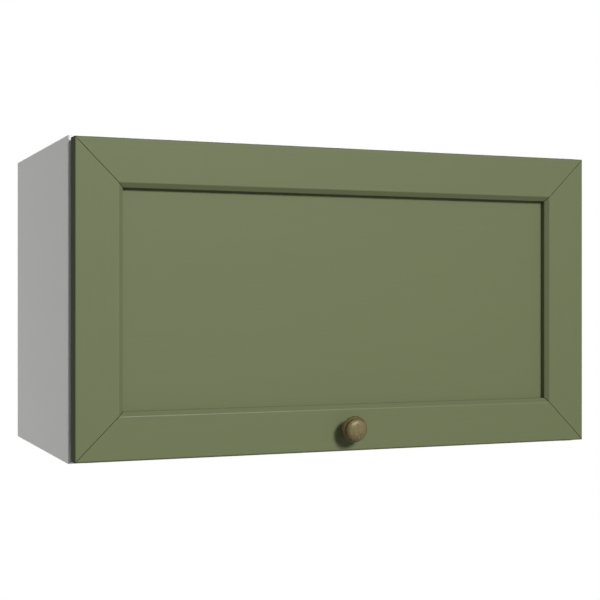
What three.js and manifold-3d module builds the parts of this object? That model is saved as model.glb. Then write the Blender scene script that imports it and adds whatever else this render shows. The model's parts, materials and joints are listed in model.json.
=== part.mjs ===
// A lift up wall cabinet: a laminated board carcass with one framed door that is hinged along its top edge.
// Two cup hinges carry the door and two lever stays guide it, one on each side panel. Each stay is a
// parallelogram: its lever turns with the door, and its link stays parallel to itself.
//
// Millimetres. +Z is up, the door faces -Y and the wall is the plane Y = 0. The origin is the middle of the
// bottom panel's rear edge, half way through its thickness.

import * as THREE from 'three';
import { mergeVertices } from 'three/addons/utils/BufferGeometryUtils.js';
import Module from 'manifold-3d';

// ---------------------------------------------------------------------------------- driving dimensions

// Carcass
const WIDTH = 600;
const HEIGHT = 332;
const DEPTH = 292;
const BOARD = 16;
const BACK_THICK = 3;
const WALL_RECESS = 16; // behind the back panel, for the hanging rail
const GROOVE_DEPTH = 8;

// Clearances
const BOARD_GAP = 0.2; // between two boards that meet
const SEAT = 0.2; // between a fitting and the face it sits on
const FIT = 0.3; // round a piece that sits in a hole or a groove
const RUN = 0.4; // between pieces that turn past each other

// Cam fittings
const CAM_R = 7.2;
const CAM_HEIGHT = 12;
const CAM_SLOT = 9;
const CAM_SLOT_WIDTH = 1.4;
const CAM_SLOT_DEPTH = 2;
const CAM_FROM_END = 24; // cam centre to the board's end
const CAM_FRONT = 62; // front cams, from the front edge
const CAM_REAR = 62; // rear cams, from the rear edge
const CAM_BOLT_R = 2.6;
const CAM_BOLT_GRIP = 10.5; // bolt length inside the side panel

// Door
const DOOR_THICK = 19;
const DOOR_GAP = 3; // carcass front to door back
const SIDE_REVEAL = 2;
const END_REVEAL = 3; // above and below the door
const FRAME_FLAT = 44.7; // flat face of a rail or stile
const BEVEL_WIDTH = 5;
const BEVEL_DROP = 3.6;
const PANEL_RECESS = 9.6; // frame face to panel face
const PANEL_THICK = 6;
const PANEL_TONGUE = 8; // how far the frame's groove reaches
const FRONT_ROUND = 2;
const BACK_ROUND = 1.5;
const MITRE_GAP = 0.15; // each side of a mitre

// Knob
const KNOB_RIM_R = 14.1;
const KNOB_NECK_R = 6.5;
const KNOB_BASE_R = 9;
const KNOB_RIM_OUT = 17.4; // door face to the rim's front edge
const KNOB_RIM_THICK = 2.8;
const KNOB_GROOVE_R = 12;
const KNOB_DOME_R = 12.3;
const KNOB_DOME_OUT = 19.6;
const KNOB_DOME_FULL = 0.55; // 1 is a plain arc, less is fuller at the shoulder
const KNOB_LENGTH = 25;
const KNOB_UP = 24.6; // door bottom edge to knob axis
const KNOB_SCREW_R = 2;
const KNOB_SCREW_GRIP = 10;
const KNOB_SCREW_HEAD_R = 4.4;
const KNOB_SCREW_HEAD = 2.4;

// Cup hinges
const HINGE_INSET = 102; // hinge centre to the cabinet's outer side
const PIN_DEPTH = 9; // door back to the hinge axis
const PIN_DROP = 8; // door top edge to the hinge axis
const PIN_R = 1.5;
const PIN_LENGTH = 20;
const KNUCKLE_R = 2.7;
const CUP_R = 17.5;
const CUP_WALL = 1;
const CUP_FLOOR = 0.8;
const CUP_SIDES = 36;
const CUP_EDGE = 3; // door top edge to the cup
const CUP_BOSS_HALF = 12; // reach of the pin bosses either side of the middle
const FLANGE_THICK = 1;
const FLANGE_RIM = 2;
const FLANGE_HALF = 31;
const CUP_SCREW_HALF = 24; // half the spacing of the cup's screws
const CUP_SCREW_DROP = 9.5; // cup centre to the screws' line
const CUP_WING_HALF = 6.5;
const PLATE_SETBACK = 37; // front edge to the mounting plate's screws
const PLATE_SCREW_HALF = 16;
const PLATE_WING_HALF = 23;
const PLATE_WIDTH = 15;
const PLATE_THICK = 2;
const SADDLE_WIDTH = 11;
const SADDLE_FRONT = 14; // saddle, forward of the screws' line
const SADDLE_REAR = 28;
const SADDLE_HEIGHT = 6.4;
const ARM_SHEET = 1.3;
const ARM_TAIL = 4; // arm, behind the saddle
const NECK_WIDTH = 9.6;
const NECK_THICK = 3.4;
const LEG_HALF = 1.8;

// Wood screws of the hinges
const SCREW_R = 1.8;
const SCREW_LENGTH = 12;
const SCREW_HEAD_R = 4;
const SCREW_HEAD = 2;

// Lever stays
const STAY_SETBACK = 42; // front edge to the lever's axis
const STAY_DROP = 40; // top panel to the lever's axis
const HOUSING_FRONT = 28; // lever's axis to the housing's front end
const HOUSING_LENGTH = 104;
const HOUSING_HALF = 29;
const HOUSING_THICK = 13.4;
const HOUSING_WALL = 1.6;
const HOUSING_CORNER = 10;
const COVER_THICK = 1.5;
const SHAFT_R = 5;
const DRUM_R = 7.1;
const SHAFT_HEAD_R = 8;
const SHAFT_HEAD = 1.6;
const SPRING_WIRE_R = 1.2;
const SPRING_TURNS = 3;
const SPRING_LEG = 14;
const LEVER_THICK = 4;
const LEVER_HUB_R = 11;
const LEVER_END_R = 8;
const LINK_THICK = 3;
const LINK_END_R = 7;
const LINK_PIN_R = 3;
const LINK_PIN_HEAD_R = 5;
const LINK_PIN_HEAD = 1.2;
const LAYER_GAP = 0.6; // between the stay's layers
const BRACKET_THICK = 2.4;
const BRACKET_HALF = 20;
const BRACKET_FOOT = 14.5;
const BRACKET_STANDOFF = 10; // door back to the bracket's stud
const BRACKET_DROP = 76; // door top edge to the stud

// Cabinet hangers
const HANGER_WIDTH = 18;
const HANGER_LENGTH = 46;
const HANGER_HEIGHT = 60;
const HANGER_DROP = 8;
const HANGER_CHAMFER = 16;
const HOOK_THICK = 3;
const HOOK_BAR = 12;
const HOOK_BAR_DROP = 14; // top panel to the hook's bar
const HOOK_TAIL = 26; // bar length inside the housing
const HOOK_LIP = 4;
const HOOK_LIP_DROP = 12;
const HOOK_WALL_GAP = 3;
const HOOK_SLOT_PLAY = 1.5;

// Bumpers
const BUMPER_R = 4;
const BUMPER_EDGE = 6; // door side edge to the bumper's middle
const BUMPER_UP = 12; // door bottom edge to the bumper's middle

// ---------------------------------------------------------------------------------------- derived places

const floorTop = BOARD / 2;
const carcassBottom = -BOARD / 2;
const carcassTop = HEIGHT - BOARD / 2;
const ceiling = carcassTop - BOARD; // underside of the top panel
const innerX = WIDTH / 2 - BOARD;
const backRear = -WALL_RECESS;
const backFront = backRear - BACK_THICK;

const doorBack = -(DEPTH + DOOR_GAP);
const doorFront = doorBack - DOOR_THICK;
const doorHalf = WIDTH / 2 - SIDE_REVEAL;
const doorTop = carcassTop - END_REVEAL;
const doorBottom = carcassBottom + END_REVEAL;
const doorHeight = doorTop - doorBottom;
const frameWidth = FRAME_FLAT + BEVEL_WIDTH;

// ------------------------------------------------------------------------------------------- materials

const finish = (color, roughness, metalness) =>
  new THREE.MeshStandardMaterial({ color, roughness, metalness });
const laminate = finish(0xe9e9e6, 0.55, 0);
const backBoard = finish(0xe4e4e1, 0.6, 0);
const doorPaint = finish(0x7a8260, 0.5, 0);
const agedBrass = finish(0x7d7148, 0.4, 0.9);
const nickel = finish(0xb9bab8, 0.3, 0.9);
const zinc = finish(0xa4a6a5, 0.4, 0.9);
const springSteel = finish(0x55585a, 0.35, 0.9);
const greyPlastic = finish(0xc9cbca, 0.5, 0);
const whitePlastic = finish(0xe6e6e3, 0.45, 0);
const clearRubber = finish(0xd4d4ce, 0.6, 0);

// --------------------------------------------------------------------------------------- solid geometry

const wasm = await Module();
wasm.setup();

// A closed mesh as a solid that can be joined and cut.
function toSolid(geometry) {
  const bare = new THREE.BufferGeometry().setAttribute('position', geometry.getAttribute('position'));
  if (geometry.index) bare.setIndex(geometry.index);
  const merged = mergeVertices(bare, 1e-4);
  const vertProperties = merged.getAttribute('position').array;
  const triVerts = new Uint32Array(merged.index.array);
  return new wasm.Manifold(new wasm.Mesh({ numProp: 3, vertProperties, triVerts }));
}

function toGeometry(solid) {
  const mesh = solid.getMesh();
  const geometry = new THREE.BufferGeometry();
  geometry.setAttribute('position', new THREE.BufferAttribute(new Float32Array(mesh.vertProperties), 3));
  geometry.setIndex(new THREE.BufferAttribute(new Uint32Array(mesh.triVerts), 1));
  geometry.computeVertexNormals();
  return geometry;
}

const join = (...pieces) => toGeometry(pieces.map(toSolid).reduce((all, piece) => all.add(piece)));
const cut = (piece, ...tools) =>
  toGeometry(tools.map(toSolid).reduce((left, tool) => left.subtract(tool), toSolid(piece)));
const keepInside = (piece, limit) => toGeometry(toSolid(piece).intersect(toSolid(limit)));

// A box between two opposite corners.
function block(x0, x1, y0, y1, z0, z1) {
  const box = new THREE.BoxGeometry(Math.abs(x1 - x0), Math.abs(y1 - y0), Math.abs(z1 - z0));
  return box.translate((x0 + x1) / 2, (y0 + y1) / 2, (z0 + z1) / 2);
}

// Round bars along each axis, from one end to the other.
function rodY(radius, y0, y1, x, z, sides = 24) {
  const bar = new THREE.CylinderGeometry(radius, radius, Math.abs(y1 - y0), sides);
  return bar.translate(x, (y0 + y1) / 2, z);
}

function rodX(radius, x0, x1, y, z, sides = 24) {
  const bar = new THREE.CylinderGeometry(radius, radius, Math.abs(x1 - x0), sides).rotateZ(Math.PI / 2);
  return bar.translate((x0 + x1) / 2, y, z);
}

function rodZ(radius, z0, z1, x, y, sides = 24) {
  const bar = new THREE.CylinderGeometry(radius, radius, Math.abs(z1 - z0), sides).rotateX(Math.PI / 2);
  return bar.translate(x, y, (z0 + z1) / 2);
}

// A plate across X: its outline is drawn in Y and Z.
const acrossX = new THREE.Matrix4().makeBasis(
  new THREE.Vector3(0, 1, 0),
  new THREE.Vector3(0, 0, 1),
  new THREE.Vector3(1, 0, 0),
);
function plateX(outline, x0, x1, curveSegments = 5) {
  const depth = Math.abs(x1 - x0);
  const plate = new THREE.ExtrudeGeometry(outline, { depth, bevelEnabled: false, curveSegments });
  return plate.applyMatrix4(acrossX).translate(Math.min(x0, x1), 0, 0);
}

// A plate across Y: its outline is drawn in X and Z.
function plateY(outline, y0, y1, curveSegments = 5) {
  const depth = Math.abs(y1 - y0);
  const plate = new THREE.ExtrudeGeometry(outline, { depth, bevelEnabled: false, curveSegments });
  return plate.rotateX(Math.PI / 2).translate(0, Math.max(y0, y1), 0);
}

function polygon(points) {
  return new THREE.Shape(points.map(([a, b]) => new THREE.Vector2(a, b)));
}

function roundedRectangle(a0, a1, b0, b1, radius) {
  const shape = new THREE.Shape();
  shape.absarc(a1 - radius, b0 + radius, radius, -Math.PI / 2, 0, false);
  shape.absarc(a1 - radius, b1 - radius, radius, 0, Math.PI / 2, false);
  shape.absarc(a0 + radius, b1 - radius, radius, Math.PI / 2, Math.PI, false);
  shape.absarc(a0 + radius, b0 + radius, radius, Math.PI, 1.5 * Math.PI, false);
  return shape;
}

// A flat bar with a round end about each of two points, and a round hole at each.
function linkBar(start, startR, startHole, end, endR, endHole) {
  const run = new THREE.Vector2().subVectors(end, start);
  const heading = run.angle();
  const spread = Math.acos((startR - endR) / run.length());
  const bar = new THREE.Shape();
  bar.absarc(end.x, end.y, endR, heading - spread, heading + spread, false);
  bar.absarc(start.x, start.y, startR, heading + spread, heading - spread + 2 * Math.PI, false);
  bar.holes.push(new THREE.Path().absarc(end.x, end.y, endHole, 0, 2 * Math.PI, true));
  bar.holes.push(new THREE.Path().absarc(start.x, start.y, startHole, 0, 2 * Math.PI, true));
  return bar;
}

// Points round part of a circle, both ends included.
function arcPoints(x, y, radius, from, to, steps) {
  return Array.from({ length: steps + 1 }, (_, i) => {
    const angle = from + ((to - from) * i) / steps;
    return new THREE.Vector2(x + radius * Math.cos(angle), y + radius * Math.sin(angle));
  });
}

// A bar of one profile with both ends cut at 45 degrees. The profile is drawn as (inward from the outer
// edge, back from the front face), anticlockwise seen from the bar's far end.
function mitredBar(profile, length) {
  const count = profile.length;
  const corners = [-1, 1].flatMap((end) =>
    profile.flatMap((point) => [end * (length / 2 - point.x - MITRE_GAP), point.x, point.y]),
  );
  const faces = [];
  profile.forEach((_, i) => {
    const next = (i + 1) % count;
    faces.push(i, next, count + next, i, count + next, count + i);
  });
  THREE.ShapeUtils.triangulateShape(profile, []).forEach(([a, b, c]) => {
    faces.push(c, b, a, count + a, count + b, count + c);
  });
  const bar = new THREE.BufferGeometry();
  bar.setAttribute('position', new THREE.Float32BufferAttribute(corners, 3));
  return bar.setIndex(faces);
}

// A screw whose shank points along +Y from the underside of its head at Y = 0.
function screw(headR, headHeight, shankR, length) {
  const dome = headHeight * 0.35;
  const point = Math.min(shankR * 1.5, length / 2);
  const outline = [
    [0, -headHeight],
    [headR * 0.6, -headHeight + dome * 0.25],
    [headR, -headHeight + dome],
    [headR, 0],
    [shankR, 0],
    [shankR, length - point],
    [0, length],
  ];
  return new THREE.LatheGeometry(outline.map(([r, y]) => new THREE.Vector2(r, y)), 18);
}

function addPiece(group, name, geometry, material) {
  const piece = new THREE.Mesh(geometry, material);
  piece.name = name;
  group.add(piece);
  return piece;
}

const cabinet = new THREE.Group();

// ---------------------------------------------------------------------------------------- cam fittings
// A cam turns in a pocket in a top or bottom board and grips the bolt that is screwed into the side panel.

const camCentreX = innerX - BOARD_GAP - CAM_FROM_END;
const camRows = [['front', -DEPTH + CAM_FRONT], ['rear', -CAM_REAR]];
const camPlaces = [-1, 1].flatMap((side) =>
  camRows.map(([end, y]) => ({ side, end, y, x: side * camCentreX })),
);
const camReach = CAM_FROM_END + BOARD_GAP + CAM_BOLT_GRIP;
const camFace = BOARD / 2 - FIT;

function camFitting() {
  const cam = rodZ(CAM_R, camFace - CAM_HEIGHT, camFace, 0, 0);
  const bolt = rodX(CAM_BOLT_R, 0, camReach, 0, 0, 12);
  const halfSlot = CAM_SLOT / 2;
  const halfWidth = CAM_SLOT_WIDTH / 2;
  const slotFloor = camFace - CAM_SLOT_DEPTH;
  return cut(
    join(cam, bolt),
    block(-halfSlot, halfSlot, -halfWidth, halfWidth, slotFloor, BOARD),
    block(-halfWidth, halfWidth, -halfSlot, halfSlot, slotFloor, BOARD),
  );
}

// The pocket and bore for one cam in a board whose middle is at height z; face is 1 up or -1 down.
function camPocket({ side, y, x }, z, face) {
  const floor = z + face * (camFace - CAM_HEIGHT - FIT);
  const pocket = rodZ(CAM_R + FIT, floor, z + face * BOARD, x, y);
  const bore = rodX(CAM_BOLT_R + FIT, x, side * (innerX + FIT), y, z, 12);
  return [pocket, bore];
}

// --------------------------------------------------------------------------------------------- carcass

const grooveRear = backRear + FIT;
const grooveFront = backFront - FIT;
const panelLevels = [
  { level: 'top', z: carcassTop - BOARD / 2, face: 1 },
  { level: 'bottom', z: carcassBottom + BOARD / 2, face: -1 },
];

for (const [name, side] of [['side_panel_left', -1], ['side_panel_right', 1]]) {
  const board = block(side * innerX, (side * WIDTH) / 2, -DEPTH, 0, carcassBottom, carcassTop);
  const open = side * (innerX - 1);
  const grooveFloor = side * (innerX + GROOVE_DEPTH);
  const groove = block(open, grooveFloor, grooveFront, grooveRear, carcassBottom - 1, carcassTop + 1);
  const boltEnd = side * (innerX + CAM_BOLT_GRIP + FIT);
  const bores = camPlaces
    .filter((place) => place.side === side)
    .flatMap(({ y }) => panelLevels.map(({ z }) => rodX(CAM_BOLT_R + FIT, open, boltEnd, y, z, 12)));
  addPiece(cabinet, name, cut(board, groove, ...bores), laminate);
}

const hingeXs = [['left', -(WIDTH / 2 - HINGE_INSET)], ['right', WIDTH / 2 - HINGE_INSET]];
const plateScrewY = -DEPTH + PLATE_SETBACK;

for (const { level, z, face } of panelLevels) {
  const halfLength = innerX - BOARD_GAP;
  const board = block(-halfLength, halfLength, -DEPTH, 0, z - BOARD / 2, z + BOARD / 2);
  const innerFace = z - (face * BOARD) / 2;
  const grooveFloor = innerFace + face * GROOVE_DEPTH;
  const groove = block(-WIDTH, WIDTH, grooveFront, grooveRear, innerFace - face, grooveFloor);
  const pockets = camPlaces.flatMap((place) => camPocket(place, z, face));
  const screwXs = hingeXs.flatMap(([, x]) => [x - PLATE_SCREW_HALF, x + PLATE_SCREW_HALF]);
  const screwBores = screwXs.map((x) =>
    rodZ(SCREW_R + FIT, innerFace - 1, innerFace + SCREW_LENGTH + FIT, x, plateScrewY, 12),
  );
  const bores = level === 'top' ? screwBores : [];
  addPiece(cabinet, `${level}_panel`, cut(board, groove, ...pockets, ...bores), laminate);
  camPlaces.forEach(({ side, end, x, y }) => {
    const name = `cam_${level}_${side < 0 ? 'left' : 'right'}_${end}`;
    const fitting = addPiece(cabinet, name, camFitting(), zinc);
    fitting.position.set(x, y, z);
    fitting.rotation.set(face > 0 ? 0 : Math.PI, 0, side > 0 ? 0 : Math.PI, 'ZYX');
  });
}

// The hooks' bars pass through the back panel, which stands in the boards' grooves.
const hookX = innerX - SEAT - HANGER_WIDTH / 2;
const hookBarTop = ceiling - HOOK_BAR_DROP;
const hookLipBottom = hookBarTop - HOOK_BAR - HOOK_LIP_DROP;
{
  const halfLength = innerX + GROOVE_DEPTH - FIT;
  const low = floorTop - GROOVE_DEPTH + FIT;
  const high = ceiling + GROOVE_DEPTH - FIT;
  const halfSlot = HOOK_THICK / 2 + HOOK_SLOT_PLAY;
  const slots = [-1, 1].map((side) =>
    block(
      side * hookX - halfSlot,
      side * hookX + halfSlot,
      backFront - 1,
      backRear + 1,
      hookLipBottom - HOOK_SLOT_PLAY,
      hookBarTop + HOOK_SLOT_PLAY,
    ),
  );
  const panel = block(-halfLength, halfLength, backFront, backRear, low, high);
  addPiece(cabinet, 'back_panel', cut(panel, ...slots), backBoard);
}

// -------------------------------------------------------------------------------------- cabinet hangers
// Each stands in a rear top corner, against the side and back panels. X runs inward from the side panel.

const hangerPieces = (() => {
  const rear = backFront - SEAT;
  const front = rear - HANGER_LENGTH;
  const top = ceiling - HANGER_DROP;
  const bottom = top - HANGER_HEIGHT;
  const outline = polygon([
    [rear, bottom],
    [rear, top],
    [front, top],
    [front, bottom + HANGER_CHAMFER],
    [front + HANGER_CHAMFER, bottom],
  ]);
  const middle = SEAT + HANGER_WIDTH / 2;
  const hookFront = rear - HOOK_TAIL;
  const slotHalf = HOOK_THICK / 2 + FIT;
  const slot = block(
    middle - slotHalf,
    middle + slotHalf,
    hookFront - FIT,
    rear + 1,
    hookBarTop - HOOK_BAR - FIT,
    hookBarTop + FIT,
  );
  const housing = cut(plateX(outline, SEAT, SEAT + HANGER_WIDTH), slot);

  const lipRear = -HOOK_WALL_GAP;
  const lipFront = lipRear - HOOK_LIP;
  const barBottom = hookBarTop - HOOK_BAR;
  const hookOutline = polygon([
    [hookFront, barBottom],
    [lipFront, barBottom],
    [lipFront, hookLipBottom],
    [lipRear, hookLipBottom],
    [lipRear, hookBarTop],
    [hookFront, hookBarTop],
  ]);
  const hook = plateX(hookOutline, middle - HOOK_THICK / 2, middle + HOOK_THICK / 2);
  return { housing, hook };
})();

for (const [side, mirror] of [['left', 1], ['right', -1]]) {
  const hanger = new THREE.Group();
  hanger.position.x = -mirror * innerX;
  hanger.scale.x = mirror;
  addPiece(hanger, `hanger_housing_${side}`, hangerPieces.housing, whitePlastic);
  addPiece(hanger, `hanger_hook_${side}`, hangerPieces.hook, zinc);
  cabinet.add(hanger);
}

// -------------------------------------------------------------------------------------------------- door
// Two rails and two stiles meet at mitres and hold the centre panel in a groove.

const door = new THREE.Group();

const frameProfile = (() => {
  const panelBack = PANEL_RECESS + PANEL_THICK + FIT;
  const grooveFloor = frameWidth - PANEL_TONGUE;
  return [
    ...arcPoints(FRONT_ROUND, FRONT_ROUND, FRONT_ROUND, Math.PI, 1.5 * Math.PI, 3),
    new THREE.Vector2(FRAME_FLAT, 0),
    new THREE.Vector2(frameWidth, BEVEL_DROP),
    new THREE.Vector2(frameWidth, PANEL_RECESS - FIT),
    new THREE.Vector2(grooveFloor, PANEL_RECESS - FIT),
    new THREE.Vector2(grooveFloor, panelBack),
    new THREE.Vector2(frameWidth, panelBack),
    new THREE.Vector2(frameWidth, DOOR_THICK),
    ...arcPoints(BACK_ROUND, DOOR_THICK - BACK_ROUND, BACK_ROUND, 0.5 * Math.PI, Math.PI, 3),
  ];
})();

// A frame bar whose outer edge is at the given place, running inward along inward.
function frameBar(length, place, inward) {
  const back = new THREE.Vector3(0, 1, 0);
  const along = new THREE.Vector3().crossVectors(inward, back);
  const stand = new THREE.Matrix4().makeBasis(along, inward, back).setPosition(place);
  return mitredBar(frameProfile, length).applyMatrix4(stand);
}

const doorMiddle = (doorTop + doorBottom) / 2;
const up = new THREE.Vector3(0, 0, 1);
const down = new THREE.Vector3(0, 0, -1);
const topRail = frameBar(2 * doorHalf, new THREE.Vector3(0, doorFront, doorTop), down);
const bottomRail = frameBar(2 * doorHalf, new THREE.Vector3(0, doorFront, doorBottom), up);

const cupZ = doorTop - CUP_EDGE - CUP_R;
const cupInnerDepth = PIN_DEPTH + KNUCKLE_R + RUN;
const cupDepth = cupInnerDepth + CUP_FLOOR;
const cupScrewZ = cupZ - CUP_SCREW_DROP;
const cupBores = hingeXs.flatMap(([, x]) => [
  rodY(CUP_R + FIT, doorBack - cupDepth - FIT, doorBack + 1, x, cupZ, CUP_SIDES),
  ...[-1, 1].map((end) =>
    rodY(SCREW_R + FIT, doorBack - SCREW_LENGTH - FIT, doorBack + 1, x + end * CUP_SCREW_HALF, cupScrewZ, 12),
  ),
]);
addPiece(door, 'door_top_rail', cut(topRail, ...cupBores), doorPaint);

const knobZ = doorBottom + KNOB_UP;
const knobBore = rodY(KNOB_SCREW_R + FIT, doorFront - 1, doorBack + 1, 0, knobZ, 16);
addPiece(door, 'door_bottom_rail', cut(bottomRail, knobBore), doorPaint);

for (const [side, sign] of [['left', -1], ['right', 1]]) {
  const place = new THREE.Vector3(sign * doorHalf, doorFront, doorMiddle);
  const stile = frameBar(doorHeight, place, new THREE.Vector3(-sign, 0, 0));
  addPiece(door, `door_${side}_stile`, stile, doorPaint);
}

const panelFront = doorFront + PANEL_RECESS;
const tongue = frameWidth - PANEL_TONGUE + FIT;
const centrePanel = block(
  -doorHalf + tongue,
  doorHalf - tongue,
  panelFront,
  panelFront + PANEL_THICK,
  doorBottom + tongue,
  doorTop - tongue,
);
addPiece(door, 'door_centre_panel', centrePanel, doorPaint);

// The knob is turned: a base, a waisted neck, a broad rim, a groove and a full dome.
const knobOutline = (() => {
  const crown = KNOB_LENGTH - KNOB_DOME_OUT;
  const rimBack = KNOB_RIM_OUT - KNOB_RIM_THICK;
  const domePoints = arcPoints(0, 0, 1, Math.PI / 2, 0, 8).map(
    ({ x, y }) => new THREE.Vector2(KNOB_DOME_R * x ** KNOB_DOME_FULL, -(KNOB_DOME_OUT + crown * y)),
  );
  return [
    ...domePoints,
    new THREE.Vector2(KNOB_GROOVE_R, -KNOB_DOME_OUT + 0.6),
    new THREE.Vector2(KNOB_GROOVE_R, -KNOB_RIM_OUT - 0.4),
    new THREE.Vector2(KNOB_RIM_R - 0.6, -KNOB_RIM_OUT),
    new THREE.Vector2(KNOB_RIM_R, -KNOB_RIM_OUT + 0.6),
    new THREE.Vector2(KNOB_RIM_R, -rimBack - 0.6),
    new THREE.Vector2(KNOB_RIM_R - 0.6, -rimBack),
    new THREE.Vector2(KNOB_NECK_R + 2, -rimBack + 3),
    new THREE.Vector2(KNOB_NECK_R, -rimBack / 2),
    new THREE.Vector2(KNOB_NECK_R + 0.8, -3),
    new THREE.Vector2(KNOB_BASE_R, -1.6),
    new THREE.Vector2(KNOB_BASE_R, -SEAT),
    new THREE.Vector2(0, -SEAT),
  ];
})();
const knobBody = new THREE.LatheGeometry(knobOutline, 32).translate(0, doorFront, knobZ);
const knobThread = rodY(KNOB_SCREW_R + FIT, doorFront - KNOB_SCREW_GRIP - FIT, doorFront + 1, 0, knobZ, 16);
addPiece(door, 'knob', cut(knobBody, knobThread), agedBrass);

const knobScrewLength = DOOR_THICK + SEAT + KNOB_SCREW_GRIP;
const knobScrew = screw(KNOB_SCREW_HEAD_R, KNOB_SCREW_HEAD, KNOB_SCREW_R, knobScrewLength);
addPiece(door, 'knob_screw', knobScrew.rotateX(Math.PI).translate(0, doorBack + SEAT, knobZ), zinc);

for (const [side, sign] of [['left', -1], ['right', 1]]) {
  const x = sign * (doorHalf - BUMPER_EDGE);
  const bumper = rodY(BUMPER_R, doorBack + SEAT, -DEPTH - SEAT, x, doorBottom + BUMPER_UP);
  addPiece(door, `bumper_${side}`, bumper, clearRubber);
}

// -------------------------------------------------------------------------------------------- cup hinges
// The arm reaches out from under the top panel, into the cup, and up to the pin. The pin lies in front of
// the panel's edge, so the door's top edge swings clear of it. Here X = 0 is the hinge's middle.

const pinY = doorBack - PIN_DEPTH;
const pinZ = doorTop - PIN_DROP;

const hingePieces = (() => {
  // Mounting plate: two wings for the screws and a raised saddle for the arm.
  const seatZ = ceiling - SEAT;
  const plateLow = seatZ - PLATE_THICK;
  const saddleLow = seatZ - SADDLE_HEIGHT;
  const saddleFrontY = plateScrewY - SADDLE_FRONT;
  const saddleRearY = plateScrewY + SADDLE_REAR;
  const screwXs = [-PLATE_SCREW_HALF, PLATE_SCREW_HALF];
  const wings = block(
    -PLATE_WING_HALF,
    PLATE_WING_HALF,
    plateScrewY - PLATE_WIDTH / 2,
    plateScrewY + PLATE_WIDTH / 2,
    plateLow,
    seatZ,
  );
  const saddle = block(-SADDLE_WIDTH / 2, SADDLE_WIDTH / 2, saddleFrontY, saddleRearY, saddleLow, seatZ);
  const plateHoles = screwXs.map((x) => rodZ(SCREW_R + FIT, plateLow - 1, seatZ + 1, x, plateScrewY, 12));
  const plate = cut(join(wings, saddle), ...plateHoles);

  // Arm: a channel over the saddle, a neck, and a leg with the knuckle. The neck passes under the sweep
  // of the cup's near edge.
  const sweep = Math.hypot(PIN_DEPTH + SEAT + FLANGE_THICK, PIN_DROP - CUP_EDGE);
  const neckTop = pinZ - sweep - 1.5 * RUN;
  const neckLow = neckTop - NECK_THICK;
  const channelInner = SADDLE_WIDTH / 2 + FIT;
  const channelOuter = channelInner + ARM_SHEET;
  const cheekTop = plateLow - FIT;
  const webTop = saddleLow - FIT;
  const webLow = webTop - ARM_SHEET;
  const tailY = saddleRearY + ARM_TAIL;
  const shoulderY = -DEPTH + 10;
  const legRear = pinY + LEG_HALF;
  const legFront = pinY - LEG_HALF;
  const channelOutline = polygon([
    [tailY, cheekTop],
    [shoulderY + 8, cheekTop],
    [shoulderY, neckTop],
    [shoulderY, neckLow],
    [shoulderY + 12, webLow],
    [tailY, webLow],
  ]);
  const neckOutline = polygon([
    [shoulderY + 2, neckTop],
    [legRear, neckTop],
    [legRear, pinZ],
    [legFront, pinZ],
    [legFront, neckLow],
    [shoulderY + 2, neckLow],
  ]);
  const channel = cut(
    plateX(channelOutline, -channelOuter, channelOuter),
    block(-channelInner, channelInner, saddleFrontY - FIT, tailY + 1, webTop, ceiling),
  );
  const halfNeck = NECK_WIDTH / 2;
  const neck = plateX(neckOutline, -halfNeck, halfNeck);
  const knuckle = rodX(KNUCKLE_R, -halfNeck, halfNeck, pinY, pinZ);
  const eye = rodX(PIN_R + FIT, -WIDTH, WIDTH, pinY, pinZ, 16);
  const arm = cut(join(channel, neck, knuckle), eye);

  // Cup: a pot with a flange, and a boss for the pin on each side of the knuckle.
  const flangeBack = doorBack + SEAT;
  const flangeFace = flangeBack + FLANGE_THICK;
  const wingTop = cupScrewZ + CUP_WING_HALF;
  const wingLow = cupScrewZ - CUP_WING_HALF;
  const discR = CUP_R + FLANGE_RIM;
  const discTop = doorTop - CUP_EDGE;
  const below = block(-discR - 1, discR + 1, flangeBack - 1, flangeFace + 1, cupZ - discR - 1, discTop);
  const disc = keepInside(rodY(discR, flangeBack, flangeFace, 0, cupZ, CUP_SIDES), below);
  const flangeWings = plateY(
    roundedRectangle(-FLANGE_HALF, FLANGE_HALF, wingLow, wingTop, CUP_WING_HALF * 0.8),
    flangeBack,
    flangeFace,
  );
  const pot = rodY(CUP_R, doorBack - cupDepth, flangeFace, 0, cupZ, CUP_SIDES);
  const hollow = rodY(CUP_R - CUP_WALL, doorBack - cupInnerDepth, flangeFace + 1, 0, cupZ, CUP_SIDES);
  const flangeHoles = [-1, 1].map((end) =>
    rodY(SCREW_R + FIT, flangeBack - 1, flangeFace + 1, end * CUP_SCREW_HALF, cupScrewZ, 12),
  );
  const shell = cut(join(disc, flangeWings, pot), hollow, ...flangeHoles);
  const bossHalf = PIN_R + 1.9;
  const bosses = [-1, 1].map((end) => {
    const rough = block(
      end * (halfNeck + RUN),
      end * CUP_BOSS_HALF,
      doorBack - cupInnerDepth - CUP_FLOOR / 2,
      pinY + bossHalf,
      pinZ - bossHalf,
      pinZ + bossHalf,
    );
    return keepInside(rough, rodY(CUP_R - CUP_WALL / 2, doorBack - cupDepth, flangeFace, 0, cupZ, CUP_SIDES));
  });
  const pinBore = rodX(PIN_R + FIT, -PIN_LENGTH / 2 - FIT, PIN_LENGTH / 2 + FIT, pinY, pinZ, 16);
  const cup = cut(join(shell, ...bosses), pinBore);

  const pin = rodX(PIN_R, -PIN_LENGTH / 2, PIN_LENGTH / 2, pinY, pinZ, 16);
  const plateScrews = screwXs.map((x) =>
    screw(SCREW_HEAD_R, SCREW_HEAD, SCREW_R, SCREW_LENGTH + PLATE_THICK)
      .rotateX(Math.PI / 2)
      .translate(x, plateScrewY, plateLow - SEAT),
  );
  const cupScrews = [-CUP_SCREW_HALF, CUP_SCREW_HALF].map((x) =>
    screw(SCREW_HEAD_R, SCREW_HEAD, SCREW_R, SCREW_LENGTH)
      .rotateX(Math.PI)
      .translate(x, flangeFace + SEAT, cupScrewZ),
  );
  return { plate, arm, cup, pin, plateScrews, cupScrews };
})();

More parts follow.
